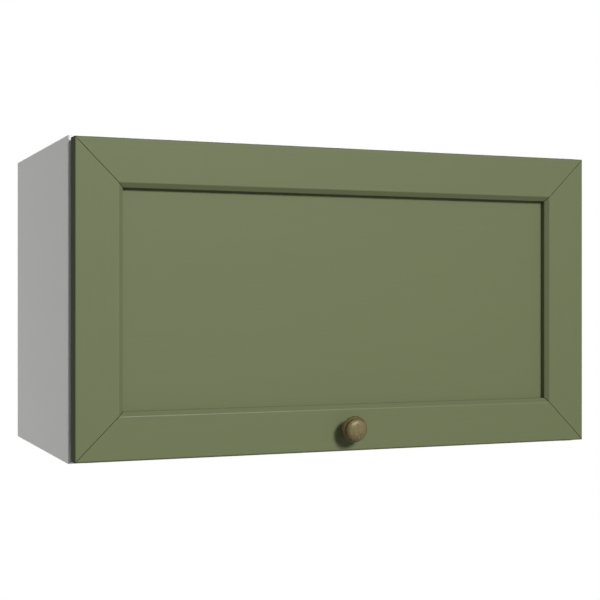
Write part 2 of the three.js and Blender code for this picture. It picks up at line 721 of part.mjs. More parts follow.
for (const [side, x] of hingeXs) {
  const fixedHalf = new THREE.Group();
  const doorHalfOfHinge = new THREE.Group();
  fixedHalf.position.x = x;
  doorHalfOfHinge.position.x = x;
  addPiece(fixedHalf, `hinge_plate_${side}`, hingePieces.plate, nickel);
  addPiece(fixedHalf, `hinge_arm_${side}`, hingePieces.arm, nickel);
  addPiece(doorHalfOfHinge, `hinge_cup_${side}`, hingePieces.cup, nickel);
  addPiece(doorHalfOfHinge, `hinge_pin_${side}`, hingePieces.pin, zinc);
  ['a', 'b'].forEach((letter, i) => {
    addPiece(fixedHalf, `plate_screw_${side}_${letter}`, hingePieces.plateScrews[i], zinc);
    addPiece(doorHalfOfHinge, `cup_screw_${side}_${letter}`, hingePieces.cupScrews[i], zinc);
  });
  cabinet.add(fixedHalf);
  door.add(doorHalfOfHinge);
}

// ------------------------------------------------------------------------------------------- lever stays
// Layers are counted inward from the side panel: housing, cover, lever, link, bracket ear. The lever is
// parallel to the line from the hinge axis to the bracket's stud, and the link to the line between the
// two fixed axes.

const stayPieces = (() => {
  const pivot = new THREE.Vector2(-DEPTH + STAY_SETBACK, ceiling - STAY_DROP);
  const hingeAxis = new THREE.Vector2(pinY, pinZ);
  const stud = new THREE.Vector2(doorBack + BRACKET_STANDOFF, doorTop - BRACKET_DROP);
  const elbow = stud.clone().sub(hingeAxis).add(pivot);

  const housingIn = SEAT;
  const housingOut = housingIn + HOUSING_THICK;
  const coverIn = housingOut + SEAT;
  const coverOut = coverIn + COVER_THICK;
  const leverIn = coverOut + LAYER_GAP;
  const leverOut = leverIn + LEVER_THICK;
  const linkIn = leverOut + LAYER_GAP;
  const linkOut = linkIn + LINK_THICK;
  const earIn = linkOut + LAYER_GAP;
  const earOut = earIn + BRACKET_THICK;

  // Housing: a tray that holds the spring, and its cover.
  const front = pivot.x - HOUSING_FRONT;
  const rear = front + HOUSING_LENGTH;
  const low = pivot.y - HOUSING_HALF;
  const high = pivot.y + HOUSING_HALF;
  const wall = HOUSING_WALL;
  const outline = roundedRectangle(front, rear, low, high, HOUSING_CORNER);
  const pocket = roundedRectangle(front + wall, rear - wall, low + wall, high - wall, HOUSING_CORNER - wall);
  const bearing = rodX(SHAFT_R + FIT, -1, coverOut + 1, pivot.x, pivot.y);
  const hollow = plateX(pocket, housingIn + wall, housingOut + 1);
  const tray = cut(plateX(outline, housingIn, housingOut), hollow, bearing);
  const cover = cut(plateX(outline, coverIn, coverOut), bearing);

  // Shaft: journals in the tray and the cover, a drum between them, and a head outside the lever.
  const drumIn = housingIn + wall + RUN;
  const drumOut = coverIn - RUN;
  const headIn = leverOut + SEAT;
  const shaft = join(
    rodX(SHAFT_R, housingIn + SEAT, headIn + SHAFT_HEAD / 2, pivot.x, pivot.y),
    rodX(DRUM_R, drumIn, drumOut, pivot.x, pivot.y),
    rodX(SHAFT_HEAD_R, headIn, headIn + SHAFT_HEAD, pivot.x, pivot.y),
  );

  // Torsion spring: close turns round the drum and a straight leg at each end.
  const coilR = DRUM_R + FIT + SPRING_WIRE_R;
  const coilIn = drumIn + SPRING_WIRE_R;
  const coilOut = drumOut - SPRING_WIRE_R;
  const legShare = SPRING_LEG / (2 * SPRING_LEG + 2 * Math.PI * coilR * SPRING_TURNS);
  class SpringLine extends THREE.Curve {
    getPoint(t, target = new THREE.Vector3()) {
      const share = (t - legShare) / (1 - 2 * legShare);
      const onCoil = Math.min(Math.max(share, 0), 1);
      const angle = onCoil * SPRING_TURNS * 2 * Math.PI;
      const past = (share < 0 ? t - legShare : Math.max(t - 1 + legShare, 0)) * (SPRING_LEG / legShare);
      const y = pivot.x + coilR * Math.cos(angle) - past * Math.sin(angle);
      const z = pivot.y + coilR * Math.sin(angle) + past * Math.cos(angle);
      return target.set(coilIn + (coilOut - coilIn) * onCoil, y, z);
    }
  }
  const wire = new THREE.Shape().absarc(0, 0, SPRING_WIRE_R, 0, 2 * Math.PI, false);
  const spring = new THREE.ExtrudeGeometry(wire, {
    steps: 16 * SPRING_TURNS + 6,
    curveSegments: 3,
    bevelEnabled: false,
    extrudePath: new SpringLine(),
  });

  // Lever, link, and the pin that is riveted in the lever and carries the link.
  const lever = plateX(
    linkBar(pivot, LEVER_HUB_R, SHAFT_R + FIT, elbow, LEVER_END_R, LINK_PIN_R + FIT),
    leverIn,
    leverOut,
  );
  const link = plateX(
    linkBar(elbow, LINK_END_R, LINK_PIN_R + FIT, stud, LINK_END_R, LINK_PIN_R + FIT),
    linkIn,
    linkOut,
  );
  const rivetIn = leverIn - SEAT;
  const rivetOut = linkOut + SEAT;
  const linkPin = join(
    rodX(LINK_PIN_R, rivetIn - LINK_PIN_HEAD / 2, rivetOut + LINK_PIN_HEAD / 2, elbow.x, elbow.y),
    rodX(LINK_PIN_HEAD_R, rivetIn - LINK_PIN_HEAD, rivetIn, elbow.x, elbow.y),
    rodX(LINK_PIN_HEAD_R, rivetOut, rivetOut + LINK_PIN_HEAD, elbow.x, elbow.y),
  );

  // Door bracket: a foot on the door's back, and an ear whose stud passes through the link's eye.
  const footBack = doorBack + SEAT;
  const footFace = footBack + BRACKET_THICK;
  const bracketLow = stud.y - BRACKET_HALF;
  const bracketHigh = stud.y + BRACKET_HALF;
  const foot = block(earOut - BRACKET_FOOT, earOut, footBack, footFace, bracketLow, bracketHigh);
  const ear = new THREE.Shape();
  ear.absarc(stud.x, stud.y, LINK_END_R, -Math.PI / 2, Math.PI / 2, false);
  ear.lineTo(footBack, bracketHigh);
  ear.lineTo(footBack, bracketLow);
  const studBar = rodX(LINK_PIN_R, linkIn - LAYER_GAP / 3, earIn + BRACKET_THICK / 2, stud.x, stud.y);
  const bracket = join(foot, plateX(ear, earIn, earOut), studBar);

  return { tray, cover, spring, shaft, lever, link, linkPin, bracket };
})();

const levers = new THREE.Group();
for (const [side, mirror] of [['left', 1], ['right', -1]]) {
  const onCabinet = new THREE.Group();
  const moving = new THREE.Group();
  const onDoor = new THREE.Group();
  for (const group of [onCabinet, moving, onDoor]) {
    group.position.x = -mirror * innerX;
    group.scale.x = mirror;
  }
  addPiece(onCabinet, `stay_housing_${side}`, stayPieces.tray, greyPlastic);
  addPiece(onCabinet, `stay_cover_${side}`, stayPieces.cover, greyPlastic);
  addPiece(onCabinet, `stay_spring_${side}`, stayPieces.spring, springSteel);
  addPiece(moving, `stay_shaft_${side}`, stayPieces.shaft, zinc);
  addPiece(moving, `stay_lever_${side}`, stayPieces.lever, nickel);
  addPiece(moving, `stay_link_${side}`, stayPieces.link, nickel);
  addPiece(moving, `stay_link_pin_${side}`, stayPieces.linkPin, zinc);
  addPiece(onDoor, `door_bracket_${side}`, stayPieces.bracket, nickel);
  cabinet.add(onCabinet);
  levers.add(moving);
  door.add(onDoor);
}

const liftUpWallCabinet = new THREE.Group();
liftUpWallCabinet.add(cabinet, door, levers);

export default liftUpWallCabinet;
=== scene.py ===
"""Looks of the lift up wall cabinet: a white board carcass and one painted frame door on top hinges.

The row frame is in metres. +Z is up, the door faces -Y and the wall is the plane Y = 0. Sizes below are in
millimetres and become metres where a mesh is made.
"""

import json
import math

import bmesh
import bpy
import numpy as np
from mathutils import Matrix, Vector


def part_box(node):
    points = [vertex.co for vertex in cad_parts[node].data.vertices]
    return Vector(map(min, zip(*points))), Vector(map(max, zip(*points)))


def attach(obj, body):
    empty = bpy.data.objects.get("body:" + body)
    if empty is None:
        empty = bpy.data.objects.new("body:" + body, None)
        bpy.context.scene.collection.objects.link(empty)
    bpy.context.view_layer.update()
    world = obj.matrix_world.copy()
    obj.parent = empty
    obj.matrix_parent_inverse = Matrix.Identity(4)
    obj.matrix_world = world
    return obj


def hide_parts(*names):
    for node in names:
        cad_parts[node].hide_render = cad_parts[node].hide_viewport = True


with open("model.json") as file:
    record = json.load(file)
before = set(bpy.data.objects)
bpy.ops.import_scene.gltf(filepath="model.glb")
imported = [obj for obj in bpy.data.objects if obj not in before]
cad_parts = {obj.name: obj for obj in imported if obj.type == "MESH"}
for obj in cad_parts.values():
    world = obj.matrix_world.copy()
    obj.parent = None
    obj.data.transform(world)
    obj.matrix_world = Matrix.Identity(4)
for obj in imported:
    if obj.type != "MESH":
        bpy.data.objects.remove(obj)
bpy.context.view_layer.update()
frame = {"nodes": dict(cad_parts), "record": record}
nodes = frame["nodes"]
behaviour = frame["record"]["behaviour"]
body_of = {node: body for body, members in behaviour["bodies"].items() for node in members}
slot_of = {row["node"]: row["material_slot"] for row in frame["record"]["subparts"]}

# --------------------------------------------------------------------------------- carcass boards
# Two sides, a top and a bottom of 16 mm chipboard, faced in white melamine with a fine pearl texture. A thin
# plastic band closes each front edge. The rear edges and the machined grooves and pockets show bare chips.

MM = 0.001
BOARD_EDGE = 0.35
BAND = 2.0
BAND_ROUND = 1.8
BAND_JOINT = 0.07  # half the width of the joint line behind the band
CORE_DEPTH = 0.6  # a cut surface lies at least this far inside the board's outer box
REAR_EDGE = -0.1  # only the boards' rear edges lie behind this plane
WHITE_MELAMINE = (0.86, 0.86, 0.85)
PEARLS_PER_METRE = 420
CHIPS_PER_METRE = 520
CHIP_DARK = (0.30, 0.19, 0.10, 1)
CHIP_LIGHT = (0.60, 0.44, 0.27, 1)
EVEN = (1, 1, 1)  # the stretch of a grain that has no direction
HEIGHT_FINER = 5  # how many times finer a grain's height is than its tone
SHARP_ANGLE = 32  # degrees between two faces, above which their edge is sharp
FLAT_ANGLE = 0.6  # degrees between two faces, below which they are one flat face


def add_node(tree, kind, sockets=None, **settings):
    """One shader node. A value that is itself a socket is linked, and any other value is set."""
    node = tree.nodes.new("ShaderNode" + kind)
    for key, value in settings.items():
        setattr(node, key, value)
    for key, value in (sockets or {}).items():
        if isinstance(value, bpy.types.NodeSocket):
            tree.links.new(value, node.inputs[key])
        else:
            node.inputs[key].default_value = value
    return node


def maths(tree, operation, *values):
    """The output of one Math node; values fill its sockets in order."""
    return add_node(tree, "Math", dict(enumerate(values)), operation=operation).outputs[0]


def vectors(tree, operation, first, second=(0, 0, 0)):
    """The vector that one Vector Math node puts out."""
    return add_node(tree, "VectorMath", {0: first, 1: second}, operation=operation).outputs[0]


def axes_of(tree, place):
    """The three coordinates of a place."""
    return add_node(tree, "SeparateXYZ", {0: place}).outputs


def ramp(tree, value, low, high, at_low, at_high):
    """A straight change from at_low, where value is low or less, to at_high, where it is high or more."""
    node = add_node(tree, "MapRange", {0: value, 1: low, 2: high, 3: at_low, 4: at_high})
    return node.outputs[0]


def blend(tree, share, first, second, mode="MIX"):
    """Two colours mixed by share."""
    node = add_node(tree, "Mix", {0: share, 6: first, 7: second}, data_type="RGBA", blend_type=mode)
    return node.outputs[2]


def new_group(name, inputs, outputs):
    """An empty shader node group with named sockets, and its two end nodes."""
    group = bpy.data.node_groups.new(name, "ShaderNodeTree")
    for direction, sockets in (("INPUT", inputs), ("OUTPUT", outputs)):
        for label, kind in sockets.items():
            group.interface.new_socket(label, in_out=direction, socket_type="NodeSocket" + kind)
    return group, group.nodes.new("NodeGroupInput").outputs, group.nodes.new("NodeGroupOutput").inputs


# Fine grain: noise stretched along a direction. The middle half of a broad noise is spread over -1 to 1, and
# Tone is 1 plus Shift times that. Height is a finer noise.
fine_grain, given, made = new_group(
    "fine_grain",
    {"Place": "Vector", "Stretch": "Vector", "Per metre": "Float", "Shift": "Float"},
    {"Tone": "Float", "Height": "Float"},
)
place = vectors(fine_grain, "MULTIPLY", given["Place"], given["Stretch"])
broad = add_node(fine_grain, "TexNoise",
                 {"Vector": place, "Scale": given["Per metre"], "Detail": 3, "Roughness": 0.6})
finer = maths(fine_grain, "MULTIPLY", given["Per metre"], HEIGHT_FINER)
close = add_node(fine_grain, "TexNoise", {"Vector": place, "Scale": finer, "Detail": 2, "Roughness": 0.5})
swing = maths(fine_grain, "MULTIPLY_ADD", broad.outputs[0], 4, -2)
swing = maths(fine_grain, "MINIMUM", maths(fine_grain, "MAXIMUM", swing, -1), 1)
fine_grain.links.new(maths(fine_grain, "MULTIPLY_ADD", swing, given["Shift"], 1), made["Tone"])
fine_grain.links.new(close.outputs[0], made["Height"])

# Bare core: 1 on a board's cut surfaces, which lie inside its outer box, and on its rear edge. The chips are
# cells of random tone with dark glue lines between them.
bare_core, given, made = new_group(
    "bare_core",
    {"Place": "Vector", "Middle": "Vector", "Half": "Vector"},
    {"Core": "Float", "Chips": "Color", "Height": "Float"},
)
offset = vectors(bare_core, "SUBTRACT", given["Place"], given["Middle"])
room = axes_of(bare_core, vectors(bare_core, "SUBTRACT", given["Half"], vectors(bare_core, "ABSOLUTE", offset)))
nearest = maths(bare_core, "MINIMUM", maths(bare_core, "MINIMUM", room[0], room[1]), room[2])
is_cut = maths(bare_core, "GREATER_THAN", nearest, CORE_DEPTH * MM)
is_rear = maths(bare_core, "GREATER_THAN", axes_of(bare_core, given["Place"])[1], REAR_EDGE * MM)
cells = add_node(bare_core, "TexVoronoi", {"Vector": given["Place"], "Scale": CHIPS_PER_METRE, "Randomness": 1})
tone = axes_of(bare_core, cells.outputs["Color"])[0]
chips = blend(bare_core, tone, CHIP_DARK, CHIP_LIGHT)
glue = ramp(bare_core, cells.outputs["Distance"], 0.35, 0.75, 1, 0.55)
glue = add_node(bare_core, "CombineColor", {0: glue, 1: glue, 2: glue}).outputs[0]
bare_core.links.new(maths(bare_core, "MAXIMUM", is_cut, is_rear), made["Core"])
bare_core.links.new(blend(bare_core, 1, chips, glue, "MULTIPLY"), made["Chips"])
bare_core.links.new(tone, made["Height"])


def new_material(name, **shader):
    """A material, its node tree, its Principled shader's sockets with plain numbers set, and the place."""
    material = bpy.data.materials.new(name)
    material.use_nodes = True
    tree = material.node_tree
    tree.nodes.clear()
    plain = {key.replace("_", " "): value for key, value in shader.items()}
    principled = add_node(tree, "BsdfPrincipled", plain)
    output = add_node(tree, "OutputMaterial", {"Surface": principled.outputs[0]})
    output.target = "ALL"
    place = add_node(tree, "TexCoord").outputs["Object"]
    return material, tree, principled.inputs, place


def grained(tree, place, stretch, per_metre, shift):
    """The fine grain group in a material: its tone and height."""
    node = add_node(tree, "Group", node_tree=fine_grain)
    tree.links.new(place, node.inputs["Place"])
    node.inputs["Stretch"].default_value = stretch
    node.inputs["Per metre"].default_value = per_metre
    node.inputs["Shift"].default_value = shift
    return node.outputs["Tone"], node.outputs["Height"]


def toned(tree, colour, tone):
    """A colour made lighter or darker by tone."""
    return add_node(tree, "VectorMath", {0: colour, 3: tone}, operation="SCALE").outputs[0]


def bumped(tree, height, strength, depth):
    """A normal from a height, where depth is the height of 1 in metres."""
    return add_node(tree, "Bump", {"Height": height, "Strength": strength, "Distance": depth}).outputs[0]


def melamine(name, low, high):
    """White melamine on one board: pearl texture, the band's joint line, and bare core where it is cut."""
    material, tree, shader, place = new_material(name, Specular_IOR_Level=0.2)
    tone, pearl = grained(tree, place, EVEN, PEARLS_PER_METRE, 0.012)
    core = add_node(tree, "Group", node_tree=bare_core)
    tree.links.new(place, core.inputs["Place"])
    core.inputs["Middle"].default_value = (low + high) / 2
    core.inputs["Half"].default_value = (high - low) / 2
    from_front = maths(tree, "SUBTRACT", axes_of(tree, place)[1], low.y)
    joint = maths(tree, "COMPARE", from_front, BAND * MM, BAND_JOINT * MM)
    white = toned(tree, WHITE_MELAMINE, maths(tree, "MULTIPLY", tone, ramp(tree, joint, 0, 1, 1, 0.8)))
    tree.links.new(blend(tree, core.outputs["Core"], white, core.outputs["Chips"]), shader["Base Color"])
    satin = maths(tree, "MULTIPLY_ADD", pearl, 0.10, 0.45)
    rough = add_node(tree, "Mix", {0: core.outputs["Core"], 2: satin, 3: 0.9}).outputs[0]
    tree.links.new(rough, shader["Roughness"])
    height = add_node(tree, "Mix", {0: core.outputs["Core"], 2: pearl, 3: core.outputs["Height"]}).outputs[0]
    tree.links.new(bumped(tree, height, 0.12, 0.12 * MM), shader["Normal"])
    return material


def add_piece(name, mesh, material, body, slot, *stands_for):
    """Puts a finished mesh in the scene: its material, the body it rides on, and the CAD nodes it replaces."""
    mesh.materials.clear()
    mesh.materials.append(material)
    piece = bpy.data.objects.new(name, mesh)
    bpy.context.scene.collection.objects.link(piece)
    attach(piece, body)
    if stands_for:
        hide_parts(*stands_for)
    return piece


def smooth_faces(mesh, sharp=SHARP_ANGLE):
    """Smooth shading, broken along edges sharper than the given angle."""
    mesh.shade_smooth()
    mesh.set_sharp_from_angle(angle=math.radians(sharp))


def finish_node(node, name, material, edge, front_edge=None):
    """A copy of a CAD node in place of it: doubles merged, flat faces whole, and sharp edges rounded over edge
    millimetres. The edges of its foremost face are rounded over front_edge millimetres where that is given."""
    mesh = bpy.data.meshes.new(name)
    work = bmesh.new()
    work.from_mesh(nodes[node].data)
    bmesh.ops.remove_doubles(work, verts=work.verts, dist=1e-6)
    bmesh.ops.dissolve_limit(work, angle_limit=math.radians(FLAT_ANGLE), verts=work.verts, edges=work.edges)
    work.to_mesh(mesh)
    work.free()
    for extra in ("custom_normal", "sharp_edge", "sharp_face"):
        if extra in mesh.attributes:
            mesh.attributes.remove(mesh.attributes[extra])
    smooth_faces(mesh)
    widest = front_edge or edge
    ends = np.empty(2 * len(mesh.edges), int)
    mesh.edges.foreach_get("vertices", ends)
    places = np.empty(3 * len(mesh.vertices))
    mesh.vertices.foreach_get("co", places)
    depths = places[1::3]
    edge_depth = depths[ends].reshape(-1, 2).max(axis=1)
    sharp = np.zeros(len(mesh.edges), bool)
    mesh.attributes["sharp_edge"].data.foreach_get("value", sharp)
    weight = sharp * np.where(edge_depth < depths.min() + 0.01 * MM, 1, edge / widest)
    mesh.attributes.new("bevel_weight_edge", "FLOAT", "EDGE").data.foreach_set("value", weight)
    piece = add_piece(name, mesh, material, body_of[node], slot_of[node], node)
    softener = piece.modifiers.new("broken edges", "BEVEL")
    softener.limit_method = "WEIGHT"
    softener.width = widest * MM
    softener.segments = 4 if front_edge else 2
    softener.harden_normals = True


for node, name in (("side_panel_left", "left_side_board"), ("side_panel_right", "right_side_board"),
                   ("top_panel", "top_board"), ("bottom_panel", "bottom_board")):
    finish_node(node, name, melamine(f"melamine_{name}", *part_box(node)), BOARD_EDGE, BAND_ROUND)

# ------------------------------------------------------------------------------------------- back
# A 3 mm hardboard sheet that stands in grooves in the four boards, 16 mm in front of the wall. Its inner face
# is lacquered white. The face towards the wall is bare brown fibre with the print of the pressing screen.

SCREEN_PITCH = 1.6
BACK_FACE = -16.0
BACK_WHITE = (0.80, 0.80, 0.78)
FIBRE_BROWN = (0.23, 0.135, 0.07)
FIBRES_PER_METRE = 260

hardboard, tree, shader, place = new_material("hardboard", Specular_IOR_Level=0.3)
tone, fibre = grained(tree, place, EVEN, FIBRES_PER_METRE, 0.03)
across, depth, up = axes_of(tree, place)
wall_side = maths(tree, "GREATER_THAN", depth, (BACK_FACE - 0.1) * MM)
turns = 2 * math.pi / (SCREEN_PITCH * MM)
warp, weft = (maths(tree, "SINE", maths(tree, "MULTIPLY", axis, turns)) for axis in (across, up))
screen = maths(tree, "MULTIPLY", wall_side, maths(tree, "MULTIPLY", warp, weft))
lacquer = toned(tree, BACK_WHITE, tone)
brown = toned(tree, FIBRE_BROWN, ramp(tree, fibre, 0.3, 0.7, 0.75, 1.3))
tree.links.new(blend(tree, wall_side, lacquer, brown), shader["Base Color"])
tree.links.new(ramp(tree, wall_side, 0, 1, 0.45, 0.85), shader["Roughness"])
tree.links.new(bumped(tree, maths(tree, "ADD", screen, fibre), 0.25, 0.08 * MM), shader["Normal"])
nodes["back_panel"].data.materials[0] = hardboard

# ----------------------------------------------------------------------------------- cam fittings
# Eight die-cast zinc cams, each with a cross slot, turned in pockets in the top and bottom boards. A steel bolt
# from the side board runs into each.

CAM_EDGE = 0.25
CAST_ZINC = (0.52, 0.53, 0.55)


def metal(name, colour, satin, stretch, per_metre, relief):
    """A plated or cast metal: colour and roughness vary with a grain stretched along the working direction."""
    material, tree, shader, place = new_material(name, Metallic=1)
    tone, streaks = grained(tree, place, stretch, per_metre, 0.07)
    tree.links.new(toned(tree, colour, tone), shader["Base Color"])
    tree.links.new(maths(tree, "MULTIPLY_ADD", streaks, 0.16, satin - 0.08), shader["Roughness"])
    tree.links.new(bumped(tree, streaks, 0.2, relief * MM), shader["Normal"])
    return material


cast_zinc = metal("cast_zinc", CAST_ZINC, satin=0.46, stretch=EVEN, per_metre=900, relief=0.03)
for level in ("top", "bottom"):
    for side in ("left", "right"):
        for end in ("front", "rear"):
            finish_node(f"cam_{level}_{side}_{end}", f"cam_in_{level}_board_{side}_{end}", cast_zinc, CAM_EDGE)

# -------------------------------------------------------------------------------- cabinet hangers
# A moulded housing in each rear top corner, screwed to the side, carries a pressed steel hook that passes
# through the back. Two screws in its front face lift the cabinet on the rail and pull it to the wall.

HANGER_EDGE = 0.8
HOOK_EDGE = 0.35
HANGER_X = 274.8
HANGER_FRONT = -65.2
HANGER_SCREW = {"head_r": 3.6, "head_height": 1.6, "shank_r": 1.6, "length": 5}
HANGER_SCREW_ZS = (289, 270)
PLATED_ZINC = (0.56, 0.58, 0.60)
MOULDED_WHITE = (0.78, 0.78, 0.76)
PITS_PER_METRE = 500


def moulded(name, colour):
    """Injection-moulded plastic with a fine eroded texture."""
    material, tree, shader, place = new_material(name, Specular_IOR_Level=0.4)
    tone, pits = grained(tree, place, EVEN, PITS_PER_METRE, 0.02)
    tree.links.new(toned(tree, colour, tone), shader["Base Color"])
    tree.links.new(maths(tree, "MULTIPLY_ADD", pits, 0.12, 0.36), shader["Roughness"])
    tree.links.new(bumped(tree, pits, 0.25, 0.06 * MM), shader["Normal"])
    return material


def skin(name, rings, sharp=SHARP_ANGLE):
    """A closed surface over rings[i, j], in millimetres: point j of ring i. Quads join each ring to the next.
    Each end ring is closed by one face, or by a fan where it has shrunk to a point."""
    count, around = rings.shape[:2]
    i, j = np.meshgrid(np.arange(count - 1) * around, np.arange(around), indexing="ij")
    right = (j + 1) % around
    quads = np.stack([i + j, i + right, i + around + right, i + around + j], axis=-1).reshape(-1, 4)
    ends = [list(range(around))[::-1], list(range((count - 1) * around, count * around))]
    mesh = bpy.data.meshes.new(name)
    mesh.from_pydata(rings.reshape(-1, 3) * MM, [], quads.tolist() + ends)
    work = bmesh.new()
    work.from_mesh(mesh)
    bmesh.ops.remove_doubles(work, verts=work.verts, dist=1e-7)
    bmesh.ops.recalc_face_normals(work, faces=work.faces)
    work.to_mesh(mesh)
    work.free()
    smooth_faces(mesh, sharp)
    return mesh


def turned(profile, around=48):
    """A profile of (radius, height) points carried round the Z axis: point (i, j) is radius i in direction j,
    at height i."""
    angle = np.linspace(0, 2 * np.pi, around, endpoint=False)
    radius, height = np.asarray(profile, float).T[:, :, None]
    return np.stack([radius * np.cos(angle), radius * np.sin(angle), height + 0 * angle], axis=-1)


def stand(rings, foot, axis, turn=0.0):
    """Points drawn about the Z axis, turned about it, then set with Z along axis and the origin at foot."""
    along = np.array(axis, float)
    across = np.cross(along, (0.48, 0.36, 0.8))
    across /= np.linalg.norm(across)
    beside = np.cross(along, across)
    first = math.cos(turn) * across + math.sin(turn) * beside
    second = np.cross(along, first)
    return rings @ np.stack([first, second, along]) + np.array(foot, float)


def cross_screw(head_r, head_height, shank_r, length, turn):
    """A domed screw head over Z = 0 with its shank below. The head's height falls with the square of the
    radius, less a cross recess where a point is near one arm's middle line and within the arms' reach."""
    rim = 0.35 * head_height
    share = np.linspace(0, 1, 20)
    dome = np.stack([share * head_r, head_height - rim * share**2], axis=-1)
    body = [(head_r, rim), (head_r * 0.97, 0), (shank_r, 0), (shank_r, shank_r - length), (0, -length)]
    rings = turned(np.concatenate([dome, body]))
    top = rings[: len(share)]
    x, y = np.abs(top[:, :, 0]), np.abs(top[:, :, 1])
    in_arm = np.clip((0.16 * head_r - np.minimum(x, y)) / (0.09 * head_r) + 0.5, 0, 1)
    in_reach = np.clip((0.55 * head_r - np.maximum(x, y)) / (0.12 * head_r) + 0.5, 0, 1)
    top[:, :, 2] -= 0.55 * head_height * in_arm * in_reach
    return stand(rings, (0, 0, 0), (0, 0, 1), turn)


screw_zinc = metal("screw_zinc", PLATED_ZINC, satin=0.34, stretch=EVEN, per_metre=1200, relief=0.01)
hook_zinc = metal("hook_zinc", PLATED_ZINC, satin=0.40, stretch=(1, 0.1, 1), per_metre=700, relief=0.02)
moulded_white = moulded("moulded_white", MOULDED_WHITE)


def add_screw(name, sizes, turn, foot, axis, body, *stands_for):
    """A zinc plated cross screw of the given sizes and turn. Its head stands on foot and faces along axis."""
    rings = stand(cross_screw(**sizes, turn=turn), foot, axis)
    add_piece(name, skin(name, rings), screw_zinc, body, "zinc_steel", *stands_for)


for side, sign in (("left", -1), ("right", 1)):
    finish_node(f"hanger_housing_{side}", f"hanger_{side}", moulded_white, HANGER_EDGE)
    finish_node(f"hanger_hook_{side}", f"hook_{side}", hook_zinc, HOOK_EDGE)
    for i, z in enumerate(HANGER_SCREW_ZS):
        add_screw(f"hanger_{side}_screw_{i + 1}", HANGER_SCREW, 0.5 + i,
                  (sign * HANGER_X, HANGER_FRONT, z), (0, -1, 0), "cabinet")

# ------------------------------------------------------------------------------------- door frame
# Two rails and two stiles of moulded wood board, mitred at the corners and grooved for the panel. Each is a
# flat face, a bevel and a straight wall down to the panel. The grey-green satin paint is sprayed along each
# bar, and painted shade darkens it at the outer edges, on the bevel and in the mitre joints.

DOOR_HALF = 298.0
DOOR_LOW, DOOR_HIGH = -5.0, 321.0
DOOR_FRONT, DOOR_BACK = -314.0, -295.0
DOOR_THICK = DOOR_BACK - DOOR_FRONT
MITRE_GAP = 0.15
MITRE_ROUND = 0.3
FRAME_FLAT = 44.7
FRAME_WIDTH = 49.7
BEVEL_DROP = 3.6
GROOVE_FLOOR = 41.7
GROOVE_FRONT, GROOVE_BACK = 9.3, 15.9
FRAME_CORNERS = np.array([  # inward from the outer edge, back from the face
    (0, 0), (FRAME_FLAT, 0), (FRAME_WIDTH, BEVEL_DROP), (FRAME_WIDTH, GROOVE_FRONT),
    (GROOVE_FLOOR, GROOVE_FRONT), (GROOVE_FLOOR, GROOVE_BACK), (FRAME_WIDTH, GROOVE_BACK),
    (FRAME_WIDTH, DOOR_THICK), (0, DOOR_THICK)], float)
FRAME_ROUNDS = np.array([2.0, 2.0, 0.3, 0.3, 0.2, 0.2, 0.3, 1.0, 1.5])
LEAST_ROUND = 0.02
CUP_XS = (-198.0, 198.0)
CUP_Z = 300.5
CUP_BORE_R = 17.8
CUP_BORE_DEPTH = 13.2
SAGE_PAINT = (0.160, 0.184, 0.091)
STREAKS_PER_METRE = 330
ALONG_RAIL, ALONG_STILE = (0.03, 1, 1), (1, 1, 0.03)
# Painted shade: the paint's tone at the outer edge and in the mitre joint, and how much darker the bevel is
# made
EDGE_PAINTED_SHADE, MITRE_PAINTED_SHADE, BEVEL_SHADE = 0.42, 0.45, 0.11
CREST_COAT = 0.2
SHADE_DEPTH = 11  # behind the face, as far as the bevel's shade and crest reach


def rounded(corners, radii, steps=6):
    """A closed outline with each corner rounded by an arc of its own radius. The arc's middle lies on the
    corner's bisector, radius / sin(half angle) away, and the points between its ends turn evenly."""
    sides = [np.roll(corners, shift, axis=0) - corners for shift in (1, -1)]
    before, after = (side / np.linalg.norm(side, axis=1, keepdims=True) for side in sides)
    half = 0.5 * np.arccos(np.clip((before * after).sum(1), -1, 1))[:, None]
    bisector = before + after
    bisector /= np.linalg.norm(bisector, axis=1, keepdims=True)
    radius = np.asarray(radii, float)[:, None]
    middle = corners + bisector * radius / np.sin(half)
    first = corners + before * radius / np.tan(half) - middle
    last = corners + after * radius / np.tan(half) - middle
    sweep = (np.pi - 2 * half)[:, None]
    share = np.linspace(0, 1, steps + 1)[None, :, None]
    arc = np.sin((1 - share) * sweep) * first[:, None] + np.sin(share * sweep) * last[:, None]
    return (middle[:, None] + arc / np.sin(sweep)).reshape(-1, 2)


def inset(corners, depth):
    """A closed outline, drawn clockwise, with every side moved inward by depth."""
    side = np.roll(corners, -1, axis=0) - corners
    side /= np.linalg.norm(side, axis=1, keepdims=True)
    normal = np.stack([-side[:, 1], side[:, 0]], axis=-1)
    before = np.roll(normal, 1, axis=0)
    return corners + depth * (before + normal) / (1 + (before * normal).sum(1, keepdims=True))


def frame_bar(length, place, inward):
    """The frame profile carried along a bar. A point that is u inward stands at half the length less u from
    the middle, so that both ends are cut at 45 degrees; the last rings shrink the profile to round the cut's
    edge."""
    turn = np.linspace(np.pi / 2, 0, 5)
    rings = []
    for end, turns in ((-1, turn), (1, turn[::-1])):
        for angle in turns:
            depth = MITRE_ROUND * (1 - np.cos(angle))
            outline = rounded(inset(FRAME_CORNERS, depth), np.maximum(FRAME_ROUNDS - depth, LEAST_ROUND))
            along = length / 2 - MITRE_GAP - MITRE_ROUND * (1 - np.sin(angle)) - outline[:, 0]
            rings.append(np.column_stack([end * along, outline]))
    inward = np.array(inward, float)
    back = np.array((0, 1, 0), float)
    return np.stack(rings) @ np.stack([np.cross(inward, back), inward, back]) + np.array(place, float)


